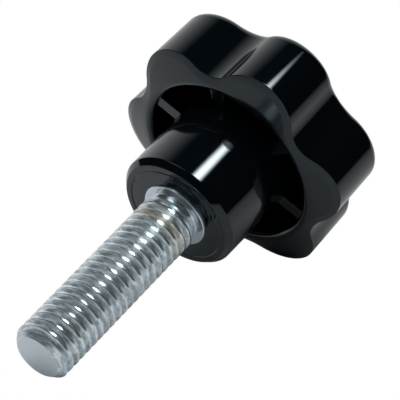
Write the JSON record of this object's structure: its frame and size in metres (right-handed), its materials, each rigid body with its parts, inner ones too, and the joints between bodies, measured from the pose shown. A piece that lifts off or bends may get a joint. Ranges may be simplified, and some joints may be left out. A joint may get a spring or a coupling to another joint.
{
  "type": "star knob",
  "caption": "Lobed hand knob in black moulded plastic, hollow underneath with a tall hub, and a threaded steel stud for clamping by hand.",
  "frame": {"origin": "centre of the hub's seating face, on the stud's axis", "axes": "+Z out along the stud towards its tip, +X through the middle of one lobe; the knob lies below the origin and stands on its domed top"},
  "size_m": [0.0426, 0.0388, 0.0632],
  "materials": {
    "knob_plastic": "glossy black moulding, satin on the underside",
    "plated_steel": "bright bluish zinc plating"
  },
  "bodies": {
    "root": {"knob_body": "knob_plastic", "threaded_stud": "plated_steel"}
  },
  "joints": []
}
